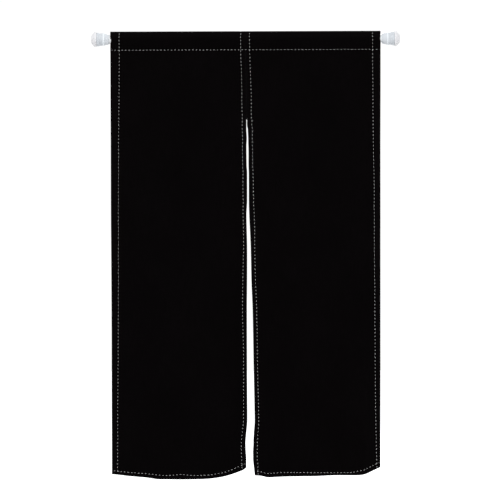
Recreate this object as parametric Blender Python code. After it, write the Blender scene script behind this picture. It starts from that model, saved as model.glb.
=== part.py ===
"""A black split door curtain (noren) hanging on a white tension rod.

Metres, +Z up. The origin is the middle of the left pad's outer face. The rod runs along +X,
the cloth hangs from it towards -Z, and the side that faces a visitor is -Y.
"""
import math
from collections import namedtuple

import bmesh
import bpy

# Rod: two tubes that slide in each other, and the same fitting on both ends
ROD_LENGTH = 1.027
OUTER_TUBE_RADIUS = 0.0140
INNER_TUBE_RADIUS = 0.0128
TUBE_WALL = 0.0008
OUTER_TUBE_MOUTH = 0.467
INNER_TUBE_TAIL = 0.250
ROD_FACETS = 32

# End fitting, measured from the rod's outer face inwards
PAD_FACE_RADIUS = 0.0100
PAD_RIM_RADIUS = 0.0254
PAD_RIM_AT = 0.0125
PAD_BACK_RADIUS = 0.0238
PAD_DEPTH = 0.0180
PAD_DOME_STEPS = 6
PAD_DOME_POWER = 1.5
FLARE_STEPS = 4
FLANGE_RADIUS = 0.0227
FLANGE_END = 0.0215
BODY_RADIUS = 0.0205
WAIST_START = 0.0320
BEAD_START = 0.0389
BEAD_END = 0.0435
BEAD_HEIGHT = 0.0009
COLLAR_RADIUS = 0.0193
COLLAR_NOSE_RADIUS = 0.0153
COLLAR_END = 0.0597
COLLAR_RING_WIDTH = 0.0016
COLLAR_RING_DEPTH = 0.0007
COLLAR_RINGS_AT = (0.0494, 0.0547)
BORE_FLOOR = 0.0300
CHAMFER = 0.0008

# Edges that turn more than this are shaded sharp
SHARP_EDGE = math.radians(35)

# Room left between pieces that touch
TOUCH_GAP = 0.0003

# Cloth
CLOTH_LEFT = 0.063
CLOTH_WIDTH = 0.900
CLOTH_CENTRE = CLOTH_LEFT + CLOTH_WIDTH / 2
CLOTH = 0.0012
HEM = 2 * CLOTH
HEM_STEP = 0.0006
SLIT_START = 0.2634

# Rod pocket: a pressed crease stands above the rod, and a stitch closes it below
CREASE_TOP = 0.0275
POCKET_STITCH = 0.0355
POCKET_ALLOWANCE = 0.003
POCKET_ARC_STEPS = 4
POCKET_EASE = 0.035

# How finely each panel is divided
INNER_COLUMNS = 17
HANGING_ROWS = 23
FOLDS_START = 0.060
FOLDS_GROWTH = 1.25

# A slit row gives, at a drop below the rod's axis, where the left panel's inner edge stands
# from the cloth's centre line, and how far beyond it the right panel's inner edge stands
Slit = namedtuple("Slit", "drop edge width")
# A side row gives how far each outer edge has drawn in from the plumb line of its end
Side = namedtuple("Side", "drop left right")
# A foot row gives the hem's drop at a share of the panel's width, from left to right
Foot = namedtuple("Foot", "share drop")
# A fold comes forward by its depth at the hem, and its middle drifts by lean on the way down
Fold = namedtuple("Fold", "share half_width depth lean")
Panel = namedtuple("Panel", "edges foot folds left_hem right_hem foot_hem")
# A column stands at a share of the width plus an inset; a row at a drop below the rod
Column = namedtuple("Column", "share inset doubled")
Row = namedtuple("Row", "drop doubled")

SLIT = (
    Slit(drop=-CREASE_TOP, edge=-0.0014, width=TOUCH_GAP),
    Slit(drop=SLIT_START, edge=0.0030, width=TOUCH_GAP),
    Slit(drop=0.269, edge=0.0025, width=0.0017),
    Slit(drop=0.283, edge=0.0024, width=0.0019),
    Slit(drop=0.297, edge=0.0024, width=0.0036),
    Slit(drop=0.368, edge=0.0022, width=0.0063),
    Slit(drop=0.535, edge=0.0040, width=0.0055),
    Slit(drop=0.585, edge=0.0016, width=0.0092),
    Slit(drop=0.702, edge=0.0036, width=0.0118),
    Slit(drop=0.802, edge=0.0030, width=0.0142),
    Slit(drop=0.902, edge=0.0018, width=0.0190),
    Slit(drop=1.103, edge=0.0017, width=0.0221),
    Slit(drop=1.263, edge=0.0023, width=0.0241),
    Slit(drop=1.320, edge=-0.0019, width=0.0246),
    Slit(drop=1.370, edge=-0.0036, width=0.0247),
    Slit(drop=1.412, edge=-0.0029, width=0.0250),
    Slit(drop=1.437, edge=-0.0027, width=0.0283),
    Slit(drop=1.453, edge=-0.0025, width=0.0311),
)

SIDES = (
    Side(drop=-CREASE_TOP, left=0.0, right=0.0),
    Side(drop=0.301, left=0.0002, right=0.0013),
    Side(drop=0.585, left=0.0000, right=0.0021),
    Side(drop=0.902, left=0.0010, right=0.0031),
    Side(drop=1.103, left=0.0007, right=0.0037),
    Side(drop=1.337, left=0.0002, right=0.0046),
    Side(drop=1.453, left=0.0001, right=0.0047),
)

# Colours are linear; the rod's white parts differ a little in tone
Finish = namedtuple("Finish", "colour roughness metallic")
BLACK_CLOTH = Finish(colour=(0.004, 0.0035, 0.0036), roughness=0.92, metallic=0.0)
WHITE_PAINT = Finish(colour=(0.80, 0.81, 0.82), roughness=0.30, metallic=0.0)
WHITE_PLASTIC = Finish(colour=(0.72, 0.75, 0.78), roughness=0.38, metallic=0.0)
SOFT_WHITE = Finish(colour=(0.80, 0.79, 0.81), roughness=0.62, metallic=0.0)


def clear_scene():
    for item in list(bpy.data.objects):
        bpy.data.objects.remove(item, do_unlink=True)


def make_material(name, finish):
    material = bpy.data.materials.new(name)
    material.use_nodes = True
    shader = material.node_tree.nodes["Principled BSDF"]
    shader.inputs["Base Color"].default_value = (*finish.colour, 1.0)
    shader.inputs["Roughness"].default_value = finish.roughness
    shader.inputs["Metallic"].default_value = finish.metallic
    return material


def finish_object(name, bm, material, parent):
    bmesh.ops.recalc_face_normals(bm, faces=bm.faces)
    mesh = bpy.data.meshes.new(name)
    bm.to_mesh(mesh)
    bm.free()
    mesh.materials.append(material)
    mesh.shade_smooth()
    mesh.set_sharp_from_angle(angle=SHARP_EDGE)
    made = bpy.data.objects.new(name, mesh)
    bpy.context.collection.objects.link(made)
    made.parent = parent
    return made


def read_table(rows, column, key, at):
    """Read a table along a smooth curve that passes its rows and never swings past them."""
    keys = [getattr(row, key) for row in rows]
    values = [getattr(row, column) for row in rows]
    if at <= keys[0]:
        return values[0]
    if at >= keys[-1]:
        return values[-1]
    rises = [(values[i + 1] - values[i]) / (keys[i + 1] - keys[i]) for i in range(len(keys) - 1)]
    low = max(i for i in range(len(rises)) if keys[i] <= at)

    def slope(row):
        if row in (0, len(rises)):
            return rises[min(row, len(rises) - 1)]
        before, after = rises[row - 1], rises[row]
        return 2 * before * after / (before + after) if before * after > 0 else 0.0

    span = keys[low + 1] - keys[low]
    share = (at - keys[low]) / span
    rest = 1 - share
    blend = share * share * (3 - 2 * share)
    bend = share * rest * (rest * slope(low) - share * slope(low + 1)) * span
    return values[low] + blend * (values[low + 1] - values[low]) + bend


def left_panel_edges(drop):
    outer = -CLOTH_WIDTH / 2 + read_table(SIDES, "left", "drop", drop)
    return outer, read_table(SLIT, "edge", "drop", drop)


def right_panel_edges(drop):
    inner = read_table(SLIT, "edge", "drop", drop) + read_table(SLIT, "width", "drop", drop)
    return inner, CLOTH_WIDTH / 2 - read_table(SIDES, "right", "drop", drop)


LEFT_PANEL = Panel(
    edges=left_panel_edges,
    foot=(
        Foot(share=0.00, drop=1.4481),
        Foot(share=0.12, drop=1.4531),
        Foot(share=0.25, drop=1.4582),
        Foot(share=0.37, drop=1.4658),
        Foot(share=0.50, drop=1.4664),
        Foot(share=0.71, drop=1.4630),
        Foot(share=0.83, drop=1.4567),
        Foot(share=0.95, drop=1.4408),
        Foot(share=0.98, drop=1.4355),
        Foot(share=1.00, drop=1.4289),
    ),
    folds=(
        Fold(share=0.02, half_width=0.15, depth=-0.006, lean=0.02),
        Fold(share=0.20, half_width=0.17, depth=0.007, lean=0.03),
        Fold(share=0.45, half_width=0.20, depth=-0.006, lean=-0.04),
        Fold(share=0.70, half_width=0.18, depth=0.009, lean=0.03),
        Fold(share=0.97, half_width=0.17, depth=-0.011, lean=-0.03),
    ),
    left_hem=0.022,
    right_hem=0.0135,
    foot_hem=0.013,
)

RIGHT_PANEL = Panel(
    edges=right_panel_edges,
    foot=(
        Foot(share=0.00, drop=1.4526),
        Foot(share=0.04, drop=1.4533),
        Foot(share=0.12, drop=1.4601),
        Foot(share=0.26, drop=1.4586),
        Foot(share=0.40, drop=1.4552),
        Foot(share=0.65, drop=1.4552),
        Foot(share=0.78, drop=1.4534),
        Foot(share=0.86, drop=1.4507),
        Foot(share=0.92, drop=1.4423),
        Foot(share=1.00, drop=1.4278),
    ),
    folds=(
        Fold(share=0.02, half_width=0.14, depth=0.010, lean=0.03),
        Fold(share=0.22, half_width=0.15, depth=-0.013, lean=0.04),
        Fold(share=0.43, half_width=0.16, depth=0.014, lean=-0.02),
        Fold(share=0.65, half_width=0.16, depth=-0.012, lean=-0.03),
        Fold(share=0.84, half_width=0.14, depth=0.012, lean=0.02),
        Fold(share=1.00, half_width=0.12, depth=-0.009, lean=-0.02),
    ),
    left_hem=0.0127,
    right_hem=0.018,
    foot_hem=0.011,
)


def turned(name, profile, material, parent):
    """Spin a profile of (along, radius) points round the rod's axis."""
    bm = bmesh.new()
    points = [bm.verts.new((along, 0.0, radius)) for along, radius in profile]
    edges = [bm.edges.new((points[i], points[(i + 1) % len(points)])) for i in range(len(points))]
    bmesh.ops.spin(bm, geom=points + edges, cent=(0, 0, 0), axis=(1, 0, 0), dvec=(0, 0, 0),
                   angle=math.tau, steps=ROD_FACETS, use_merge=True, use_duplicate=False)
    bmesh.ops.remove_doubles(bm, verts=bm.verts, dist=1e-6)
    return finish_object(name, bm, material, parent)


def tube_profile(start, end, radius):
    return [(start, radius), (end, radius), (end, radius - TUBE_WALL), (start, radius - TUBE_WALL)]


def pad_profile():
    """Flat in the middle, falling away ever faster to its widest rim, then drawn in to the socket."""
    dome = []
    for step in range(PAD_DOME_STEPS + 1):
        share = step / PAD_DOME_STEPS
        dome.append((PAD_RIM_AT * share ** PAD_DOME_POWER,
                     PAD_FACE_RADIUS + (PAD_RIM_RADIUS - PAD_FACE_RADIUS) * share))
    back = [(PAD_RIM_AT + 2 * CHAMFER, PAD_RIM_RADIUS - CHAMFER / 2), (PAD_DEPTH, PAD_BACK_RADIUS)]
    return [(0.0, 0.0)] + dome + back + [(PAD_DEPTH, 0.0)]


def collar_radius_at(along):
    """The collar narrows to its nose, slowly at first."""
    share = (along - BEAD_END) / (COLLAR_END - BEAD_END)
    return COLLAR_RADIUS - (COLLAR_RADIUS - COLLAR_NOSE_RADIUS) * share * share


def flare(share):
    """The body's way in from its flange to its waist, as a soft hollow curve."""
    along = FLANGE_END + (WAIST_START - FLANGE_END) * share
    return along, BODY_RADIUS + (FLANGE_RADIUS - BODY_RADIUS) * (1 + math.cos(math.pi * share)) / 2


def socket_profile(tube_radius):
    """A cup for the tube's end: flange, waisted body, raised bead and a collar with sunk rings."""
    start = PAD_DEPTH + TOUCH_GAP
    bore = tube_radius + TOUCH_GAP
    bead_rise = (BEAD_END - BEAD_START) / 4
    outside = [
        (start, FLANGE_RADIUS - CHAMFER),
        (start + CHAMFER, FLANGE_RADIUS),
        *[flare(step / FLARE_STEPS) for step in range(FLARE_STEPS + 1)],
        (BEAD_START, BODY_RADIUS),
        (BEAD_START + bead_rise, BODY_RADIUS + BEAD_HEIGHT),
        (BEAD_END - bead_rise, BODY_RADIUS + BEAD_HEIGHT),
        (BEAD_END, COLLAR_RADIUS),
    ]
    for middle in COLLAR_RINGS_AT:
        before = middle - COLLAR_RING_WIDTH / 2
        after = middle + COLLAR_RING_WIDTH / 2
        outside += [
            (before, collar_radius_at(before)),
            (middle, collar_radius_at(middle) - COLLAR_RING_DEPTH),
            (after, collar_radius_at(after)),
        ]
    outside.append((COLLAR_END, COLLAR_NOSE_RADIUS))
    inside = [(COLLAR_END, bore), (BORE_FLOOR, bore), (BORE_FLOOR, 0.0)]
    return [(start, 0.0)] + outside + inside


def from_right_end(profile):
    return [(ROD_LENGTH - along, radius) for along, radius in profile]


def rod_radius_at(x):
    """The rod's radius under the cloth, eased where the outer tube ends."""
    share = min(1.0, max(0.0, (x - OUTER_TUBE_MOUTH) / POCKET_EASE))
    share = share * share * (3 - 2 * share)
    return OUTER_TUBE_RADIUS + share * (INNER_TUBE_RADIUS - OUTER_TUBE_RADIUS)


def crease_half_angle(rod_radius):
    """The pressed crease keeps its height, so it is a little sharper over the thinner tube."""
    return math.asin((rod_radius + TOUCH_GAP + CLOTH) / CREASE_TOP)


def pocket_loop(radius, crotch, half_angle):
    """One side of the pocket as (out, up) points, from the stitch over the rod to the crease.

    The cloth leaves the crotch straight, wraps the rod and runs straight to the crease. The arc's
    corners stand a little off the circle, so that its flats just touch it.
    """
    lower = math.asin(radius / crotch)
    sweep = lower + half_angle
    reach = radius / math.cos(sweep / POCKET_ARC_STEPS / 2)
    points = []
    for step in range(POCKET_ARC_STEPS):
        turn = -lower + sweep * (step + 0.5) / POCKET_ARC_STEPS
        points.append((reach * math.cos(turn), reach * math.sin(turn)))
    points.append((0.0, radius / math.sin(half_angle)))
    return points


def panel_columns(panel):
    """Columns from edge to edge, with a close pair where each side hem's turned edge ends."""
    columns = [
        Column(0.0, 0.0, True),
        Column(0.0, panel.left_hem, True),
        Column(0.0, panel.left_hem + HEM_STEP, False),
    ]
    for number in range(1, INNER_COLUMNS + 1):
        columns.append(Column(number / (INNER_COLUMNS + 1), 0.0, False))
    return columns + [
        Column(1.0, -panel.right_hem - HEM_STEP, False),
        Column(1.0, -panel.right_hem, True),
        Column(1.0, 0.0, True),
    ]


def hanging_rows(foot, foot_hem):
    """Rows from the pocket stitch down to the foot, with close pairs at the pocket's lip and the hem."""
    lip = POCKET_STITCH + POCKET_ALLOWANCE
    start = lip + HEM_STEP
    end = foot - foot_hem - HEM_STEP
    rows = [Row(POCKET_STITCH, True), Row(lip, True), Row(start, False)]
    for number in range(1, HANGING_ROWS + 1):
        rows.append(Row(start + (end - start) * number / HANGING_ROWS, False))
    return rows + [Row(foot - foot_hem, True), Row(foot, True)]


def column_x(panel, column, drop):
    left, right = panel.edges(drop)
    return CLOTH_CENTRE + left + column.share * (right - left) + column.inset


def share_of_width(panel, x, drop):
    left, right = panel.edges(drop)
    return (x - CLOTH_CENTRE - left) / (right - left)


def fold_depth(panel, share, drop):
    """How far the folds bring the cloth forward at a place."""
    fall = max(0.0, (drop - FOLDS_START) / (panel.foot[0].drop - FOLDS_START))
    total = 0.0
    for fold in panel.folds:
        away = abs(share - fold.share - fold.lean * (fall - 1)) / fold.half_width
        if away < 1:
            total += fold.depth * (1 + math.cos(math.pi * away)) / 2
    return total * fall ** FOLDS_GROWTH


def hanging_sheet(panel, column):
    """A column's points below the pocket stitch, on the front and on the back."""
    hem_drop = panel.foot[0].drop
    share = share_of_width(panel, column_x(panel, column, hem_drop), hem_drop)
    foot = read_table(panel.foot, "drop", "share", share)
    front, back = [], []
    for row in hanging_rows(foot, panel.foot_hem):
        x = column_x(panel, column, row.drop)
        face = -CLOTH - fold_depth(panel, share_of_width(panel, x, row.drop), row.drop)
        thickness = HEM if row.doubled or column.doubled else CLOTH
        front.append((x, face, -row.drop))
        back.append((x, face + thickness, -row.drop))
    return front, back


def over_rod(panel, column, side):
    """A pocket loop's front half, going up, and its mirrored back half, coming down."""
    rising = [(-out, up) for out, up in side]
    falling = [(out, up) for out, up in reversed(side[:-1])]
    return [(column_x(panel, column, -up), y, up) for y, up in rising + falling]


def panel_section(panel, column):
    """A column's outer ring, front foot to back foot, and the loop inside its pocket."""
    front, back = hanging_sheet(panel, column)
    rod_radius = rod_radius_at(column_x(panel, column, 0.0))
    half_angle = crease_half_angle(rod_radius)
    outside = pocket_loop(rod_radius + TOUCH_GAP + CLOTH, POCKET_STITCH + CLOTH, half_angle)
    inside = pocket_loop(rod_radius + TOUCH_GAP, POCKET_STITCH - CLOTH, half_angle)
    crotch = (column_x(panel, column, POCKET_STITCH - CLOTH), 0.0, CLOTH - POCKET_STITCH)
    ring = front[::-1] + over_rod(panel, column, outside) + back
    return ring, [crotch] + over_rod(panel, column, inside)


def side_faces(bm, ring, loop):
    """Close a panel's side edge: the hanging sheet, the crotch and the wall round the rod."""
    rows = (len(ring) - len(loop) + 1) // 2
    front = ring[:rows][::-1]
    back = ring[-rows:]
    for upper in range(rows - 1):
        bm.faces.new((front[upper], front[upper + 1], back[upper + 1], back[upper]))
    bm.faces.new((front[0], back[0], loop[0]))
    outer = [front[0]] + ring[rows:-rows] + [back[0]]
    inner = loop + [loop[0]]
    for step in range(len(outer) - 1):
        bm.faces.new((outer[step], outer[step + 1], inner[step + 1], inner[step]))


def skin_between(bm, before, after):
    for step in range(len(before)):
        following = (step + 1) % len(before)
        bm.faces.new((before[step], before[following], after[following], after[step]))


def build_panel(name, panel, material, parent):
    bm = bmesh.new()
    rings, loops = [], []
    for column in panel_columns(panel):
        ring, loop = panel_section(panel, column)
        rings.append([bm.verts.new(point) for point in ring])
        loops.append([bm.verts.new(point) for point in loop])
    for number in range(len(rings) - 1):
        skin_between(bm, rings[number], rings[number + 1])
        skin_between(bm, loops[number], loops[number + 1])
    side_faces(bm, rings[0], loops[0])
    side_faces(bm, rings[-1], loops[-1])
    return finish_object(name, bm, material, parent)


def build_rod(parent):
    paint = make_material("white_paint", WHITE_PAINT)
    plastic = make_material("white_plastic", WHITE_PLASTIC)
    soft = make_material("soft_white", SOFT_WHITE)
    end_gap = BORE_FLOOR + TOUCH_GAP
    turned("rod_outer_tube", tube_profile(end_gap, OUTER_TUBE_MOUTH, OUTER_TUBE_RADIUS), paint, parent)
    turned("rod_inner_tube", tube_profile(INNER_TUBE_TAIL, ROD_LENGTH - end_gap, INNER_TUBE_RADIUS),
           paint, parent)
    turned("left_socket", socket_profile(OUTER_TUBE_RADIUS), plastic, parent)
    turned("right_socket", from_right_end(socket_profile(INNER_TUBE_RADIUS)), plastic, parent)
    turned("left_pad", pad_profile(), soft, parent)
    turned("right_pad", from_right_end(pad_profile()), soft, parent)


def build_cloth(parent):
    cloth = make_material("black_cloth", BLACK_CLOTH)
    build_panel("left_panel", LEFT_PANEL, cloth, parent)
    build_panel("right_panel", RIGHT_PANEL, cloth, parent)


def main():
    clear_scene()
    curtain = bpy.data.objects.new("curtain_on_rod", None)
    bpy.context.collection.objects.link(curtain)
    build_rod(curtain)
    build_cloth(curtain)


main()
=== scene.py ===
"""Looks for a black split door curtain (noren) on its white tension rod.

The cloth panels are made again as fine sheets on the folds of their solids, the running stitches are
swept along their lines by Geometry Nodes, and the rod's end fittings are turned with full detail.
Metres, +Z up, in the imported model's frame: +X runs along the rod and -Y faces the visitor.
"""
import math
from collections import namedtuple

import bmesh
import bpy
import numpy as np
from mathutils import Matrix, Vector


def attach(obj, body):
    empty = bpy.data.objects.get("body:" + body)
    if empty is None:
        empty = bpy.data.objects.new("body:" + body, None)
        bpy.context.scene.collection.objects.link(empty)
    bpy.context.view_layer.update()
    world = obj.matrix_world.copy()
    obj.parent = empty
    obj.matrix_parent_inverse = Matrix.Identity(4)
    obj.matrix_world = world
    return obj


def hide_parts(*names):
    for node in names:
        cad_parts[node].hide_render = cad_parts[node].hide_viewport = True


# Rod and end fittings, as in the part
ROD_LENGTH = 1.027
OUTER_TUBE_RADIUS = 0.0140
INNER_TUBE_RADIUS = 0.0128
OUTER_TUBE_MOUTH = 0.467
PAD_FACE_RADIUS = 0.0100
PAD_RIM_RADIUS = 0.0254
PAD_RIM_AT = 0.0125
PAD_BACK_RADIUS = 0.0238
PAD_DEPTH = 0.0180
PAD_DOME_POWER = 1.5
FLANGE_RADIUS = 0.0227
FLANGE_END = 0.0215
BODY_RADIUS = 0.0205
WAIST_START = 0.0320
BEAD_START = 0.0389
BEAD_END = 0.0435
BEAD_HEIGHT = 0.0009
COLLAR_RADIUS = 0.0193
COLLAR_NOSE_RADIUS = 0.0153
COLLAR_END = 0.0597
COLLAR_RING_WIDTH = 0.0016
COLLAR_RING_DEPTH = 0.0007
COLLAR_RINGS_AT = (0.0494, 0.0547)
BORE_FLOOR = 0.0300
TOUCH_GAP = 0.0003

# Finer turning of the end fittings
TURNED_SIDES = 96
WELD_DISTANCE = 1e-6
SHARP_ANGLE = math.radians(50)
CORNER_STEPS = 4
EDGE_ROUNDING = 0.0008
PAD_FLAT_RING = 0.6
PAD_DOME_STEPS = 72
PAD_RIM_ROUNDING = 0.0010
PAD_RIM_RISE = 0.0002
# The pad's neck: how far before its back each point is, and how far beyond its back's radius
PAD_NECK = ((0.0020, 0.0010), (0.0006, 0.0001), (0.0, -0.0006))
GRIP_RINGS_AT = (0.30, 0.48, 0.66)
GRIP_RING_WIDTH = 0.07
GRIP_RING_SHARPNESS = 2.4
GRIP_RING_DEPTH = 0.00035
FLARE_STEPS = 10
BODY_END_BEFORE_BEAD = 0.0015
BEAD_STEPS = 12
BEAD_FULLNESS = 0.7
BEAD_MIDDLE = (BEAD_START + BEAD_END) / 2
BEAD_HALF = (BEAD_END - BEAD_START) / 2
COLLAR_STEPS = 36
NOSE_ROUNDING = 0.0006
NOSE_CORNER = (0.0001, 0.0002)
BORE_CHAMFER = 0.0004

# Cloth, as in the part
CLOTH_LEFT = 0.063
CLOTH_WIDTH = 0.900
CLOTH_CENTRE = CLOTH_LEFT + CLOTH_WIDTH / 2
CLOTH = 0.0012
HEM = 2 * CLOTH
HEM_STEP = 0.0006
SLIT_START = 0.2668
CREASE_TOP = 0.0275
POCKET_STITCH = 0.0355
POCKET_ALLOWANCE = 0.003
POCKET_EASE = 0.035
FOLDS_START = 0.060
FOLDS_GROWTH = 1.25

# Sewing: pale running stitches, and a black overcast seam that joins the panels
STITCH_PITCH = 0.01177
STITCH_FRONT_SHARE = 0.45
STITCH_LOOSENESS = 0.00025
STITCH_STEEPNESS = 2.6
THREAD_RADIUS = 0.00050
THREAD_RISE = 0.45 * THREAD_RADIUS
PRESSED_THREAD_RISE = 0.8 * THREAD_RADIUS
FORWARD = (0.0, -1.0, 0.0)
LINE_END_ABOVE_FOOT = 0.0035
UPRIGHT_LINE_STEPS = 700
HEM_LINE_MARGIN = 0.004
HEM_LINE_STEPS = 260
POCKET_LINE_MARGIN = 0.005
POCKET_LINE_SAG = 0.0002
POCKET_LINE_STEPS = 500
POCKET_STITCH_AT = CLOTH_CENTRE + 0.0132
POCKET_SKIP = 0.0013
SEAM_START = 0.004
SEAM_LINE_STEPS = 200
SEAM_PITCH = 0.0050
SEAM_SWING = 0.0015
SEAM_THREAD_RADIUS = 0.00035
SEAM_THREAD_RISE = 0.4 * SEAM_THREAD_RADIUS
SEAM_OVERLAP = 0.00035
SEAM_END = 0.002
TACK_STEPS = 12
TACK_PITCH = 0.0012
TACK_SWING = 0.0022
TACK_LENGTH = 0.009
TACK_SLANT = 0.0002

# How finely the panels are divided: the rows are a third of a stitch apart
FINE_COLUMNS = 77
FINE_ROWS = 356
EDGE_STEPS = (0.0, 0.0005, 0.0014)
EDGE_LOSS = (0.62, 0.18, 0.0)
HEM_COLUMNS = (0.30, 0.60)
FOOT_HEM_ROW = 0.55
STITCH_SIDES = (-0.0030, -0.0013, 0.0, 0.0013, 0.0030)
POCKET_TURN_STEPS = (0.0, 0.0013, POCKET_ALLOWANCE)
POCKET_STRAIGHT_STEPS = 9
POCKET_ARC_STEPS = 9
POCKET_TOP_STEPS = 5
CREASE_STEPS = 3
CREASE_ROUNDING = 0.0015
LONGEST_FACE = 0.02
# How far from the pocket's stitch its skins and the stitch lines begin
POCKET_OUTSIDE_START = 0.0050
POCKET_INSIDE_START = 0.0030
POCKET_LINE_START = 0.0035

# Pull of the stitches on the cloth
PINCH_DEPTH = 0.00028
PINCH_REACH = 0.0019
PUCKER_HEIGHT = 0.00014
PUCKER_REACH = 0.0060
PINCH_LIMIT = 1.3

# Soft shapes of the hanging cloth: faint waves of the pocket, and the curl of the free edges
POCKET_WAVE_HEIGHT = 0.0003
POCKET_WAVE_LENGTH = 0.037
POCKET_WAVE_DRIFT = 3
RIPPLES_START = 0.02
CURL_HEIGHT = 0.0014
SIDE_CURL_HEIGHT = 0.6 * CURL_HEIGHT
CURL_REACH = 0.028
CURL_LENGTH = 0.31
SLIT_CURL_START = 0.15

# Wear of the cloth, as a share of the wear at its edges
HEM_WEAR = 0.35
CREASE_WEAR = 0.7

# Finishes: colours are linear, and a pair is two close tones that wander over a piece
WHITE = (1.0, 1.0, 1.0, 1.0)
COOL_WHITE = (0.97, 0.98, 1.0, 1.0)
CLOTH_TONES = ((0.0018, 0.0012, 0.0014, 1.0), (0.0026, 0.0018, 0.0021, 1.0))
# Painted shade: the gaps between the woven threads are painted darker
PAINTED_SHADE_BETWEEN_THREADS = (0.0006, 0.0003, 0.0004, 1.0)
WORN_CLOTH_TONE = (0.0060, 0.0050, 0.0054, 1.0)
PALE_THREAD_TONES = ((0.80, 0.79, 0.78, 1.0), (0.90, 0.89, 0.88, 1.0))
BLACK_THREAD_TONES = ((0.004, 0.0035, 0.0038, 1.0), (0.006, 0.0052, 0.0055, 1.0))
PAINT_TONES = ((0.74, 0.76, 0.77, 1.0), (0.79, 0.80, 0.81, 1.0))
PLASTIC_TONES = ((0.57, 0.605, 0.64, 1.0), (0.62, 0.65, 0.68, 1.0))
# Painted light: the collar is painted lighter than the body, for the brighter light on its curved top
COLLAR_PAINTED_LIGHT = (0.66, 0.69, 0.72, 1.0)
# A painted highlight: the bead's bright ring of light is painted into its colour
BEAD_PAINTED_HIGHLIGHT = (0.83, 0.87, 0.90, 1.0)
RUBBER_TONES = ((0.77, 0.765, 0.775, 1.0), (0.83, 0.825, 0.84, 1.0))
FLOOR_TONES = ((0.80, 0.80, 0.80, 1.0), (0.84, 0.84, 0.84, 1.0))
THREADS_PER_METRE = 1250.0
PLY_TWIST_LENGTH = 0.0016
# Streaks, by how often they change in a metre each way
WEFT_SLUBS = (25.0, 620.0, 1.0)
WARP_SLUBS = (620.0, 18.0, 1.0)
DRAW_LINES = (4.0, 900.0, 900.0)
FLOW_LINES = (420.0, 60.0, 60.0)

# Studio
LENS_MM = 150.0
SENSOR_MM = 36.0
SIGHT_RANGE = 60.0
CAMERA_AT = (0.5259, -6.9375, -0.7024)
CAMERA_ROLL = math.radians(0.20)
LIT_PLACE = (CLOTH_CENTRE, 0.0, -0.6)
FLOOR_HEIGHT = -1.80
FLOOR_CORNERS = ((-9.0, -9.0), (10.0, -9.0), (10.0, 12.0), (-9.0, 12.0))

# Drops are below the rod's axis, and shares are of a panel's width, from left to right
# A slit row gives where the left panel's inner edge stands from the cloth's centre line, and how
# far beyond it the right panel's inner edge stands
Slit = namedtuple("Slit", "drop edge width")
# A side row gives how far each outer edge has drawn in
Side = namedtuple("Side", "drop left right")
Foot = namedtuple("Foot", "share drop")
# A fold stands forward by its depth at the foot, and leans to the side on its way down
Fold = namedtuple("Fold", "share half_width depth lean")
# A stitch line's rows give how far in from its edge, or up from the foot, it runs
Line = namedtuple("Line", "drop inset")
HemLine = namedtuple("HemLine", "share inset")
# A ripple of the hanging cloth: strongest at its middle drop, fading over its reach
Ripple = namedtuple("Ripple", "length phase height middle reach drift")
# Each upright line has the middle of one stitch at a drop, and the hem line at a length along it
Panel = namedtuple("Panel", "name edges foot folds left_line right_line hem_line slit_on_right "
                            "left_stitch_at right_stitch_at hem_stitch_at")
# Where columns stand: a share of the width, shares of the stitch lines' insets, and a shift; and
# which share of the cloth's half thickness is rounded off there
Columns = namedtuple("Columns", "share left_line right_line shift loss")
# A line to sew: its points, the way the cloth faces, the way across, both rises, and the lead
SewnLine = namedtuple("SewnLine", "points facing across front_rise back_rise lead")
Lamp = namedtuple("Lamp", "name size power place")


def table(kind, *rows):
    """A table's rows, each from its numbers in the order of the kind's columns."""
    return tuple(kind(*row) for row in rows)


SLIT = table(
    Slit,
    (-CREASE_TOP, -0.0014, TOUCH_GAP), (SLIT_START, 0.0027, TOUCH_GAP), (0.2688, 0.0026, 0.0025),
    (0.2765, 0.0026, 0.0017), (0.291, 0.0024, 0.0025), (0.299, 0.0023, 0.0046),
    (0.333, 0.0035, 0.0046), (0.352, 0.0024, 0.0060), (0.368, 0.0023, 0.0066),
    (0.420, 0.0027, 0.0062), (0.445, 0.0043, 0.0053), (0.535, 0.0041, 0.0054),
    (0.585, 0.0016, 0.0092), (0.702, 0.0036, 0.0118), (0.802, 0.0030, 0.0142),
    (0.902, 0.0018, 0.0190), (1.103, 0.0017, 0.0221), (1.263, 0.0023, 0.0241),
    (1.320, -0.0022, 0.0249), (1.345, -0.0041, 0.0258), (1.372, -0.0034, 0.0238),
    (1.395, -0.0018, 0.0224), (1.430, -0.0018, 0.0254), (1.453, -0.0018, 0.0279),
)

SIDES = table(
    Side,
    (-CREASE_TOP, 0.0, 0.0), (-0.0180, 0.0000, 0.0002), (-0.0125, 0.0007, 0.0013),
    (-0.0030, 0.0009, 0.0015), (0.0030, 0.0036, 0.0023), (0.0085, 0.0032, 0.0007),
    (0.0160, 0.0007, 0.0003), (POCKET_STITCH, 0.0, 0.0), (0.301, 0.0002, 0.0013),
    (0.585, 0.0000, 0.0021), (0.902, 0.0010, 0.0031), (1.103, 0.0007, 0.0037),
    (1.337, 0.0002, 0.0046), (1.453, 0.0001, 0.0047),
)

RIPPLES = table(
    Ripple,
    (0.071, 0.10, 0.0007, 0.036, 0.16, 0.3), (0.043, 0.45, 0.0005, 0.036, 0.10, -0.5),
    (0.029, 0.80, 0.0003, 0.036, 0.06, 0.4), (0.118, 0.30, 0.0008, 0.700, 0.55, 0.8),
    (0.067, 0.62, 0.0004, 0.850, 0.45, -0.9), (0.097, 0.20, 0.0012, 1.460, 0.13, 0.9),
    (0.052, 0.55, 0.0007, 1.460, 0.07, -1.1),
)

LAMPS = table(
    Lamp,
    ("key_light", 3.0, 120.0, (-1.4, -4.2, 3.3)), ("fill_light", 2.6, 38.0, (3.4, -4.2, 0.0)),
    ("back_light", 3.0, 120.0, (1.6, 4.8, 1.6)),
)


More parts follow.
